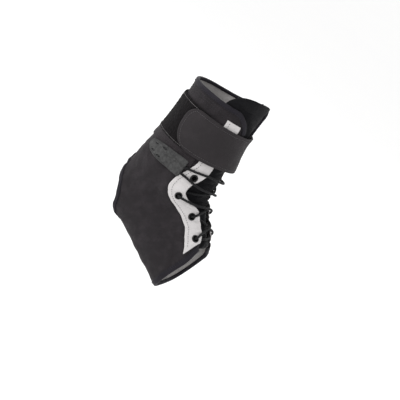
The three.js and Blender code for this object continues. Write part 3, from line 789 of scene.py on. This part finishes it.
def stitches(name, lines, look, length=2.4, gap=0.9, radius=0.27):
    """Rows of thread, each stitch a small rounded bar that dips at its ends."""
    sides, parts = 6, 5
    share = np.linspace(0, 1, parts)
    fat = np.sin(np.pi * (0.08 + 0.84 * share)) ** 0.5
    dip = -0.30 * (2 * share - 1) ** 4
    angle = np.linspace(0, 2 * np.pi, sides, endpoint=False)
    points, faces, uv = [], [], []
    for line, normals in lines:
        both = evenly(np.concatenate([line, normals], axis=1), length + gap)
        spot, normal = both[:, :3], unit(both[:, 3:])
        along = unit(np.gradient(spot, axis=0))
        normal = unit(normal - along * (normal * along).sum(-1, keepdims=True))
        beside = np.cross(along, normal)
        for p, t, n, b in zip(spot, along, normal, beside):
            start = len(points)
            for s, f, d in zip(share, fat, dip):
                middle = p + t * (s - 0.5) * length + n * (radius * 0.35 + d)
                for a in angle:
                    points.append(middle + radius * f * (n * np.sin(a) + b * np.cos(a)))
                    uv.append((a * radius, s * length))
            for k in range(parts - 1):
                for m in range(sides):
                    i, j = start + k * sides, (m + 1) % sides
                    faces.append((i + m, i + j, i + sides + j, i + sides + m))
            faces.append(tuple(start + m for m in reversed(range(sides))))
            faces.append(tuple(start + (parts - 1) * sides + m for m in range(sides)))
    return make(name, points, faces, uv, [look])


def sewn(stations, turns, height):
    """A line for stitches, with the way out of the cloth."""
    stations, turns = np.broadcast_arrays(np.asarray(stations, float),
                                          np.asarray(turns, float))
    line = on_form(stations, turns, height(stations, turns))
    return line, directions(stations, turns)[2]


def cut(piece, cutters):
    """Cuts round holes through a piece."""
    for cutter in cutters:
        modifier = piece.modifiers.new("hole", "BOOLEAN")
        modifier.operation, modifier.solver, modifier.object = "DIFFERENCE", "EXACT", cutter
    bpy.context.view_layer.update()
    graph = bpy.context.evaluated_depsgraph_get()
    mesh = bpy.data.meshes.new_from_object(piece.evaluated_get(graph))
    piece.modifiers.clear()
    old, piece.data = piece.data, mesh
    bpy.data.meshes.remove(old)
    for cutter in cutters:
        bpy.data.objects.remove(cutter)


def eyelet_frame(side, station, turn):
    out = directions(station, side.sign * turn)[2]
    aside = unit(np.cross(out, (0.3, 0.2, 1.0)))
    return out, aside, np.cross(out, aside)


def holes(side, sides=28, reach=7):
    """Cylinders through the cloth at the eyelets."""
    made = []
    for station, turn in EYELETS:
        out, a, b = eyelet_frame(side, station, turn)
        middle = on_form(station, side.sign * turn, eyestay_seat(station, side.sign * turn))
        angle = np.linspace(0, 2 * np.pi, sides, endpoint=False)[:, None]
        ring = middle + HOLE_RADIUS * (a * np.cos(angle) + b * np.sin(angle))
        points = np.concatenate([ring - out * reach, ring + out * reach])
        faces = [(k, (k + 1) % sides, sides + (k + 1) % sides, sides + k) for k in range(sides)]
        faces += [tuple(reversed(range(sides))), tuple(range(sides, 2 * sides))]
        mesh = bpy.data.meshes.new("hole")
        mesh.from_pydata((points * MM).tolist(), [], faces)
        made.append(bpy.data.objects.new("hole", mesh))
        bpy.context.collection.objects.link(made[-1])
    return made


def keep(piece, slot, *nodes):
    """Every piece rides on the one body, and the parts that it stands for are hidden. The slot is
    not used.
    """
    if nodes:
        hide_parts(*nodes)
    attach(piece, "root")
    return piece


# Quarters, eyestays and their bindings
EYESTAY_TOP = 0.6
EYESTAY_TOE_SHARE = 0.62
EYESTAY_ROW = 3.0
HOLE_RADIUS = EYELET_BORE / 2 + EYELET_BARREL_WALL + 0.1
TAPE_RISE = 0.98
RIM_ROWS = (7.5, 11.0, 14.5)
RIM_STATION_RUN = 24.0


def quarter(side):
    def turns(station):
        return side.edge(station), rear_turn(station)

    def stations(turn):
        return side.rim(turn), TOE(turn)

    def place(u, v, w):
        station, turn = spread(u, v, turns, stations)
        turn = side.sign * turn
        return on_form(station, turn, quarter_seat(station, turn) + QUARTER_WALL * w)

    piece = panel(f"{side.name}_quarter_cloth", 84, 190, place, ["nylon", "lining"])
    cut(piece, holes(side))
    keep(piece, "nylon", f"{side.name}_quarter")


def eyestay(side):
    def turns(station):
        return side.inner(station), side.outer(station)

    def stations(turn):
        return np.full_like(turn, EYESTAY_TOP), TOE(turn) - EYESTAY_TOE_SHARE

    def place(u, v, w):
        station, turn = spread(u, v, turns, stations)
        turn = side.sign * turn
        pucker = 0.12 * np.sin(v * 260) * (smooth(0.8, 0.98, u) + smooth(0.2, 0.02, u)) * w
        return on_form(station, turn, eyestay_seat(station, turn) + EYESTAY_WALL * w + pucker)

    piece = panel(f"{side.name}_eyestay_cloth", 26, 220, place, ["eyestay"])
    cut(piece, holes(side))
    keep(piece, "eyestay", f"{side.name}_eyestay")
    station = np.linspace(EYESTAY_TOP + 0.1, 9.9, 420)
    inset = EYESTAY_ROW / TURN_RUN
    lines = [sewn(station, side.sign * (side.outer(station) - inset), eyestay_top)]
    keep(stitches(f"{side.name}_eyestay_stitches", lines, "thread_eyestay",
                  length=2.0, gap=0.7, radius=0.3), "eyestay")


def ring_of_eyelet(side, number, station, turn):
    """Rolled flange and barrel, turned round the way out of the cloth."""
    out, a, b = eyelet_frame(side, station, turn)
    middle = on_form(station, side.sign * turn, eyestay_top(station, side.sign * turn))
    bore, flange = EYELET_BORE / 2, EYELET_DIAMETER / 2
    depth = EYESTAY_WALL + SEAT_GAP + QUARTER_WALL
    barrel = bore + EYELET_BARREL_WALL
    profile = [(bore, -depth), (barrel, -depth), (barrel, 0.12), (flange - 0.1, 0.12),
               (flange, 0.35), (flange - 0.25, 0.75), (flange - 0.8, 1.05),
               (bore + 0.7, 1.15), (bore + 0.2, 0.95), (bore, 0.5)]
    angle = np.linspace(0, 2 * np.pi, 40, endpoint=False)
    rings = np.stack([middle + out * h + r * (a * np.cos(t) + b * np.sin(t))
                      for t in angle for r, h in profile]).reshape(40, len(profile), 3)
    index = np.arange(40 * len(profile)).reshape(40, len(profile))
    right, both = np.roll(index, -1, axis=0), np.roll(index, -1, axis=1)
    far = np.roll(right, -1, axis=1)
    quads = np.stack([index, right, far, both], axis=-1).reshape(-1, 4)
    points = rings.reshape(-1, 3)
    if volume(points - middle, quads) < 0:
        quads = quads[:, ::-1]
    uv = np.stack(np.meshgrid(angle * flange, np.arange(len(profile)) * 0.6,
                              indexing="ij"), axis=-1).reshape(-1, 2)
    name = f"{side.name}_eyelet_{number}"
    keep(make(f"{name}_ring", points, quads, uv, ["eyelet"]), "eyelet", name)


def tape_top(station, turn):
    return quarter_top(station, turn) + TAPE_RISE


for side in SIDES:
    quarter(side)
    eyestay(side)
    edges = {"rim": (rim_edge(side), RIM_BINDING), "heel": (heel_edge(side), HEEL_BINDING),
             "toe": (toe_edge(side), TOE_BINDING)}
    for part, (edge, width) in edges.items():
        tape = binding(f"{side.name}_{part}_tape", edge, width)
        keep(tape, "binding", f"{side.name}_{part}_binding")
        rows = [width - 0.9] if part != "toe" else [width - 0.9, width - 2.6]
        lines = [(edge.place(inset, tape_top), directions(*edge.spots(inset))[2])
                 for inset in rows]
        keep(stitches(f"{side.name}_{part}_stitches", lines, "thread_black",
                      length=1.9, gap=0.8, radius=0.22), "binding")
    turn = np.linspace(66, 178, 200)
    rows = [sewn(side.rim(turn) + inset / RIM_STATION_RUN, side.sign * turn, quarter_top)
            for inset in RIM_ROWS]
    low = np.linspace(0.2, 10.0, 400)
    rows.append(sewn(low, side.sign * (side.outer(low) + 2.2), quarter_top))
    keep(stitches(f"{side.name}_quarter_stitches", rows, "thread_black"), "nylon")
    for number, (station, turn) in enumerate(EYELETS, 1):
        ring_of_eyelet(side, number, station, turn)


# Tongue
def exposed(station, turn):
    edge = np.where(turn < 0, LATERAL.edge(station), MEDIAL.edge(station))
    rim = np.where(turn < 0, LATERAL.rim(np.abs(turn)), MEDIAL.rim(np.abs(turn)))
    above = smooth(0.14, 0.4, rim - station)
    return np.maximum(edge - np.abs(turn),
                      above * (tongue_side(station, turn) - np.abs(turn)))


def wrinkles(station, turn):
    """Crumpled rolls across the bend of the ankle, between the two quarters."""
    bend = smooth(2.3, 3.1, station) * (1 - smooth(5.6, 6.8, station))
    sway = 0.16 * np.sin(np.radians(turn) * 2.1 + 0.7) + 0.07 * np.sin(np.radians(turn) * 5.3)
    phase = station + sway
    rolls = (0.55 * np.sin(phase * 10.5) + 0.35 * np.sin(phase * 17.3 + 1.1)
             + 0.2 * np.sin(phase * 29.0 + turn * 0.08))
    lower = 0.25 * np.sin(phase * 7.0 + 0.4) * smooth(6.2, 7.2, station)
    return bend * (1.35 * rolls - 0.25) + lower


def tongue():
    first, last = TONGUE_SIDES[0][0], TONGUE_SIDES[-1][0]

    def place(u, v, w):
        station = first + (last - first) * v ** 1.2
        turn = lerp(TONGUE_LEFT(station), TONGUE_RIGHT(station), u)
        clear = smooth(7, 19, exposed(station, turn))
        pad = lerp(TONGUE_EDGE, TONGUE_PAD, clear)
        quilt = 0.25 * clear * np.sin(np.pi * u) * w
        crease = wrinkles(station, turn) * clear * (0.25 + 0.75 * w)
        return on_form(station, turn, SEAT_GAP / 2 + pad * w + quilt + crease)

    keep(panel("tongue_pad", 80, 220, place, ["tongue"], 0.5), "tongue", "tongue")


tongue()


# Strips round the leg
def leg_band(bottom, width, start, end, wall, seat, relief):
    def place(u, v, w):
        turn = lerp(start, end, u)
        station = station_at(bottom + width * (1 - v), turn)
        base = seat(station, turn)
        return on_form(station, turn, base + wall * w + relief(u, v) * w)
    return place


def pile(u, v):
    """Tufts and lengthwise ribs of the plush, thinner at its edges."""
    spots = np.stack([u * 148, v * 48, 0 * u], axis=-1).reshape(-1, 3)
    tufts = [noise.fractal(Vector(p) / 2.6, 0.9, 2.1, 3) for p in spots]
    ribs = np.sin(v * BAND_WIDTH / 4.0 * np.pi + np.sin(u * 40) * 0.4) ** 2
    swell = np.sin(u * 34 + 0.6 * np.sin(v * 5)) * np.sin(np.pi * v)
    return np.array(tufts).reshape(u.shape) * 0.5 + 0.14 * ribs + 0.28 * swell - 0.5


def loops(u, v):
    spots = np.stack([u * 160, v * 12.5, 0 * u + 7], axis=-1).reshape(-1, 3)
    tufts = [noise.fractal(Vector(p) / 1.7, 0.9, 2.1, 3) for p in spots]
    return np.array(tufts).reshape(u.shape) * 0.25 - 0.12


BAND_START, BAND_END = -84, -285
LANDING_START, LANDING_END = -67, -292
LANDING_BOTTOM = BAND_BOTTOM - SEAT_GAP - LANDING_WIDTH
keep(panel("elastic_band_plush", 300, 60, leg_band(
    BAND_BOTTOM, BAND_WIDTH, BAND_START, BAND_END, BAND_WALL, band_seat, pile),
    ["plush"], 0.6), "plush", "elastic_band")
keep(panel("landing_strip_loops", 330, 18, leg_band(
    LANDING_BOTTOM, LANDING_WIDTH, LANDING_START, LANDING_END, LANDING_WALL, landing_seat,
    loops), ["landing"]), "plush", "landing_strip")


def band_top(station, turn):
    return band_seat(station, turn) + BAND_WALL - 0.3


band_turns = np.linspace(BAND_START, BAND_END, 400)
# The band's two rows of stitches sit at its edges in pale thread. The thread is real, and its
# paleness is partly painted highlight on those edges.
keep(stitches("elastic_band_stitches", [
    sewn(station_at(BAND_BOTTOM + 1.1, band_turns), band_turns, band_top),
    sewn(station_at(BAND_BOTTOM + BAND_WIDTH - 1.6, band_turns), band_turns, band_top)],
    "thread_pale_highlight", length=2.6, gap=0.4, radius=0.3), "plush")

# Wrap strap
STRAP_START, STRAP_END = 92, -113
STRAP_SEAT = SEAT_GAP * 3 + QUARTER_WALL + BAND_WALL + RAMP_GAP
DEGREE_OF_MM = math.degrees(1 / (LEG_WIDTH / 2 + STRAP_SEAT))


def corner_inset(radius, from_edge):
    reach = np.maximum(0, radius - from_edge)
    return radius - np.sqrt(radius * radius - reach * reach)


def strap_spot(u, v):
    inset = (corner_inset(STRAP_TOP_CORNER, BAND_WIDTH * v)
             + corner_inset(STRAP_BOTTOM_CORNER, BAND_WIDTH * (1 - v)))
    turn = lerp(STRAP_START, STRAP_END + inset * DEGREE_OF_MM, u)
    forward = 1 - smooth(15, 80, np.abs(turn))
    height = BAND_BOTTOM + BAND_WIDTH * (1 - v) + STRAP_LIFT * forward * v
    flare = STRAP_FLARE * forward * smooth(0.2, 1, v)
    return station_at(height, turn), turn, STRAP_SEAT + flare


def strap_place(u, v, w):
    even = (1 - np.cos(np.pi * v)) / 2
    station, turn, seat = strap_spot(u, even)
    slack = 0.35 * np.sin(u * 9 + v * 2.2) * np.sin(np.pi * v) * smooth(0, 0.2, u)
    return on_form(station, turn, seat + STRAP_WALL * w + slack * smooth(1, 0.8, u))


keep(panel("wrap_strap_cloth", 200, 70, strap_place, ["strap"], 0.5), "strap", "wrap_strap")


def strap_row(inset):
    """A row of stitches that follows the strap's edge round its free end."""
    v_low, v_high = inset / BAND_WIDTH, 1 - inset / BAND_WIDTH
    length = (STRAP_START - STRAP_END) / DEGREE_OF_MM
    across = np.linspace(v_low, v_high, 60)
    end = np.full(60, 1 - inset / length)
    run = np.linspace(0.02, 1 - inset / length, 160)
    u = np.concatenate([run, end, run[::-1]])
    v = np.concatenate([np.full(160, v_low), across, np.full(160, v_high)])
    station, turn, seat = strap_spot(u, v)
    line = on_form(station, turn, seat + STRAP_WALL + 0.05)
    return line, directions(station, turn)[2]


keep(stitches("wrap_strap_stitches", [strap_row(3.6)], "thread_grey", length=1.8,
              gap=0.7, radius=0.2), "strap")


# Hook tab
def tab_seat(height, station, turn):
    on_landing = smooth(LANDING_BOTTOM - 5, LANDING_BOTTOM, height)
    return band_seat(station, turn) + RAMP_GAP + (LANDING_WALL + SEAT_GAP) * on_landing


def tab_spot(u, v, margin=0.0):
    half = (TAB_WIDTH / 2 - margin) * np.sqrt(1 - (0.985 * u) ** TAB_TAPER)
    turn = TAB_START - np.degrees(TAB_LENGTH * u / (LEG_WIDTH / 2))
    height = TAB_HEIGHT - TAB_DROP * u + (1 - 2 * v) * half
    station = station_at(height, turn)
    return station, turn, tab_seat(height, station, turn)


def tab_place(u, v, w):
    station, turn, seat = tab_spot(np.sin(u * np.pi / 2) * 0.5 + u * 0.5, v)
    fold = TAB_FOLD * smooth(0.2, 0.17, u) * w
    return on_form(station, turn, seat + (TAB_WALL - TAB_FOLD) * w + fold)


keep(panel("lace_tab_hooks", 110, 40, tab_place, ["tab"], 0.45), "tab", "lace_tab")


def tab_line(points, margin=0.0):
    u, v = (np.array(c, float) for c in zip(*points))
    station, turn, seat = tab_spot(u, v, margin)
    line = on_form(station, turn, seat + TAB_WALL - 0.3)
    return line, directions(station, turn)[2]


box = [(0.03, v) for v in np.linspace(0.08, 0.92, 20)]
fold_row = [(0.15, v) for v in np.linspace(0.08, 0.92, 20)]
sides = [[(u, v) for u in np.linspace(0.03, 0.95, 60)] for v in (0.05, 0.95)]
keep(stitches("lace_tab_stitches", [tab_line(box), tab_line(fold_row), *map(tab_line, sides)],
              "thread_black", length=1.7, gap=0.7, radius=0.24), "tab")


def slit(along, from_top, length=4.6, width=1.7):
    """A sewn slit in the tab with its lips a little proud, all in dark cloth that is painted
    shade for the inside of the opening.
    """
    station, turn, seat = tab_spot(np.array(along), np.array(from_top))
    down, around, out = directions(station, turn)
    around, up = unit(around), -unit(down)
    middle = on_form(station, turn, seat + TAB_WALL - TAB_FOLD)
    angle = np.linspace(0, 2 * np.pi, 24, endpoint=False)
    rings = []
    for share, height_up in ((1.25, -0.15), (1.2, 0.2), (1.0, 0.28), (0.85, 0.1), (0.5, 0.02)):
        spot = [middle + around * math.cos(a) * length / 2 * share
                + up * math.sin(a) * width / 2 * share + out * height_up for a in angle]
        rings.append(spot)
    rings.append([middle - out * 0.15 + 0.3 * (np.array(p) - middle) for p in rings[0]])
    return np.array(rings)


slit_points, slit_faces = [], []
SLITS = [(0.76, 0.19), (0.53, 0.16), (0.76, 0.80), (0.56, 0.83)]
for along, from_top in SLITS:
    rings = slit(along, from_top)
    start = len(slit_points)
    slit_points += list(rings.reshape(-1, 3))
    count = rings.shape[1]
    for k in range(len(rings) - 1):
        for m in range(count):
            i, j = start + k * count, (m + 1) % count
            slit_faces.append((i + m, i + j, i + count + j, i + count + m))
    slit_faces.append(tuple(start + (len(rings) - 1) * count + m for m in range(count)))
    slit_faces.append(tuple(start + m for m in reversed(range(count))))
slit_uv = [(0.1 * k, 0.1 * k) for k in range(len(slit_points))]
# The slits use the dark tongue cloth as painted shade inside them.
keep(make("lace_tab_slits", slit_points, slit_faces, slit_uv, ["tongue"]), "tab")

# Laces
LACE_RADIUS = LACE_DIAMETER / 2
LACE_STEP = 0.5
LACE_SIDES = 20
LEVELS = {
    "under": lambda s, t: (SEAT_GAP / 2 + TONGUE_EDGE + quarter_seat(s, t)) / 2,
    "over": lambda s, t: eyestay_top(s, t) + RAMP_GAP + LACE_RADIUS,
    "low": lambda s, t: SEAT_GAP * 2 + TONGUE_PAD + RAMP_GAP + LACE_RADIUS,
    "high": lambda s, t: SEAT_GAP * 3 + TONGUE_PAD + RAMP_GAP + LACE_DIAMETER + LACE_RADIUS,
    "tab": lambda s, t: tab_seat(skin(s, t)[..., 2], s, t) + TAB_WALL * 0.75,
}

# Each half's route from the middle of the toe bar to the tab: a station, a turn and a level,
# or a side, an eyelet's number and the way that the lace goes through it
LACE_A = [
    (9.62, -0.4, "low"), (9.54, -14, "low"), (9.44, -24, "under"), (LATERAL, 1, "up"),
    (8.80, -25, "over"), (7.95, 0, "high"), (7.35, 14, "low"), (7.05, 22, "under"),
    (MEDIAL, 2, "up"), (6.50, 25, "over"), (5.95, 0, "high"), (5.45, -34, "over"),
    (LATERAL, 3, "down"), (4.75, -50, "under"), (4.45, -30, "low"), (4.10, 0, "low"),
    (3.85, 30, "low"), (3.68, 44, "under"), (MEDIAL, 4, "up"), (3.38, 42, "over"),
    (3.24, 14, "high"), (3.10, -12, "high"), (3.02, -36, "over"), (3.12, -56, "over"),
    (3.22, -71.4, "tab"),
]
LACE_B = [
    (9.62, 0.4, "low"), (9.54, 14, "low"), (9.44, 24, "under"), (MEDIAL, 1, "up"),
    (8.80, 25, "over"), (7.95, 0, "low"), (7.35, -14, "low"), (7.05, -22, "under"),
    (LATERAL, 2, "up"), (6.50, -25, "over"), (5.95, 0, "low"), (5.65, 20, "low"),
    (5.38, 38, "under"), (MEDIAL, 3, "up"), (4.72, 47, "over"), (4.40, 22, "high"),
    (4.10, 0, "high"), (3.97, -24, "high"), (3.92, -38, "over"), (3.82, -50, "over"),
    (3.70, -61, "over"), (3.64, -69.8, "over"), (3.63, -71.45, "tab"),
]


def lace_spot(row):
    station, turn, level = row
    station, turn = np.array(float(station)), np.array(float(turn))
    return on_form(station, turn, LEVELS[level](station, turn))


def through_eyelet(row, before, after):
    side, number, way = row
    station, turn = EYELETS[number - 1]
    turn = side.sign * turn
    out = directions(station, turn)[2]
    base = on_form(station, turn, 0)
    ways = []
    for other in (before, after):
        flat = lace_spot(other) - base
        ways.append(unit(flat - out * (flat @ out)))
    below, above = ways if way == "up" else ways[::-1]
    deep = LEVELS["under"](np.array(station), np.array(float(turn)))
    rim = eyestay_top(np.array(station), np.array(float(turn)))
    rim = rim + EYELET_RIM + LACE_RADIUS
    points = [base + below * 4.2 + out * deep, base + below + out * (deep + 0.5),
              base + out * (deep + 2.2), base + out * (rim - 2),
              base + above + out * (rim + 0.6), base + above * 3.6 + out * (rim + 0.7)]
    return points if way == "up" else points[::-1]


def lace(name, route, node):
    points = []
    for k, row in enumerate(route):
        if isinstance(row[0], Side):
            points += through_eyelet(row, route[k - 1], route[k + 1])
        else:
            points.append(lace_spot(row))
    line = evenly(catmull(points, 24), LACE_STEP)
    along = unit(np.gradient(line, axis=0))
    normal = unit(np.cross(along[0], (0.2, 0.3, 1.0)))
    angle = np.linspace(0, 2 * np.pi, LACE_SIDES, endpoint=False)
    rings, run = [], 0.0
    for spot, way in zip(line, along):
        normal = unit(normal - way * (normal @ way))
        beside = np.cross(way, normal)
        run += LACE_STEP
        weave = np.cos(4 * angle + run * 1.35) * np.cos(4 * angle - run * 1.35)
        radius = LACE_RADIUS * (0.95 + 0.09 * weave)
        rings.append(spot + radius[:, None] * (normal * np.cos(angle)[:, None]
                                               + beside * np.sin(angle)[:, None]))
    keep(tube(name, np.array(rings), ["lace"], angle * LACE_RADIUS), "lace", node)


lace("lace_a_cord", LACE_A, "lace_a")
lace("lace_b_cord", LACE_B, "lace_b")


# Floor, lights and camera
floor_mesh = bpy.data.meshes.new("floor")
FLOOR = CAD_BOX[0][2] - 0.06
REACH = 40
CORNERS = [(-REACH, -REACH), (REACH, -REACH), (REACH, REACH), (-REACH, REACH)]
floor_mesh.from_pydata([(x, y, FLOOR) for x, y in CORNERS], [], [(0, 1, 2, 3)])
floor = bpy.data.objects.new("floor", floor_mesh)
bpy.context.collection.objects.link(floor)
floor_look = Look("floor", 0.9, 0.0, 0.2)
floor_look.colour(floor_look.mix(floor_look.noise(900, 2), (0.97, 0.97, 0.97),
                                 (0.985, 0.985, 0.98)))
floor_mesh.materials.append(floor_look.material)

AZIMUTH, ELEVATION, ROLL = math.radians(13), math.radians(14), math.radians(36.3)
DISTANCE = 1.4
VIEW_WIDTH = 0.46
ACROSS, ALONG = 0.0392, 0.0083
right = Vector((math.cos(AZIMUTH), math.sin(AZIMUTH), 0))
back = Vector((math.sin(AZIMUTH) * math.cos(ELEVATION),
               -math.cos(AZIMUTH) * math.cos(ELEVATION), math.sin(ELEVATION)))
up = back.cross(right)
camera_data = bpy.data.cameras.new("camera")
camera_data.sensor_width = 36
camera_data.lens = 36 * DISTANCE / VIEW_WIDTH
camera = bpy.data.objects.new("camera", camera_data)
bpy.context.collection.objects.link(camera)
side_way = right * math.cos(ROLL) + up * math.sin(ROLL)
up_way = up * math.cos(ROLL) - right * math.sin(ROLL)
spot = right * ACROSS + up * ALONG + back * DISTANCE
camera.matrix_world = Matrix.Translation(spot) @ Matrix(
    (side_way, up_way, back)).transposed().to_4x4()
bpy.context.scene.camera = camera

world = bpy.data.worlds.new("studio")
bpy.context.scene.world = world
world.use_nodes = True
world.node_tree.nodes["Background"].inputs["Color"].default_value = (1, 1, 1, 1)
world.node_tree.nodes["Background"].inputs["Strength"].default_value = 1.0


def lamp(name, place, size, power):
    light = bpy.data.lights.new(name, "AREA")
    light.shape, light.size, light.energy = "SQUARE", size, power
    made = bpy.data.objects.new(name, light)
    bpy.context.collection.objects.link(made)
    made.location = place
    made.rotation_euler = (-Vector(place)).to_track_quat("-Z", "Y").to_euler()


lamp("key", (-1.3, -1.0, 1.1), 0.7, 17)
lamp("fill", (1.4, -0.9, 0.6), 1.2, 0.8)
lamp("back", (-0.4, 1.5, 1.3), 1.0, 6)
bpy.context.scene.view_settings.view_transform = "Standard"
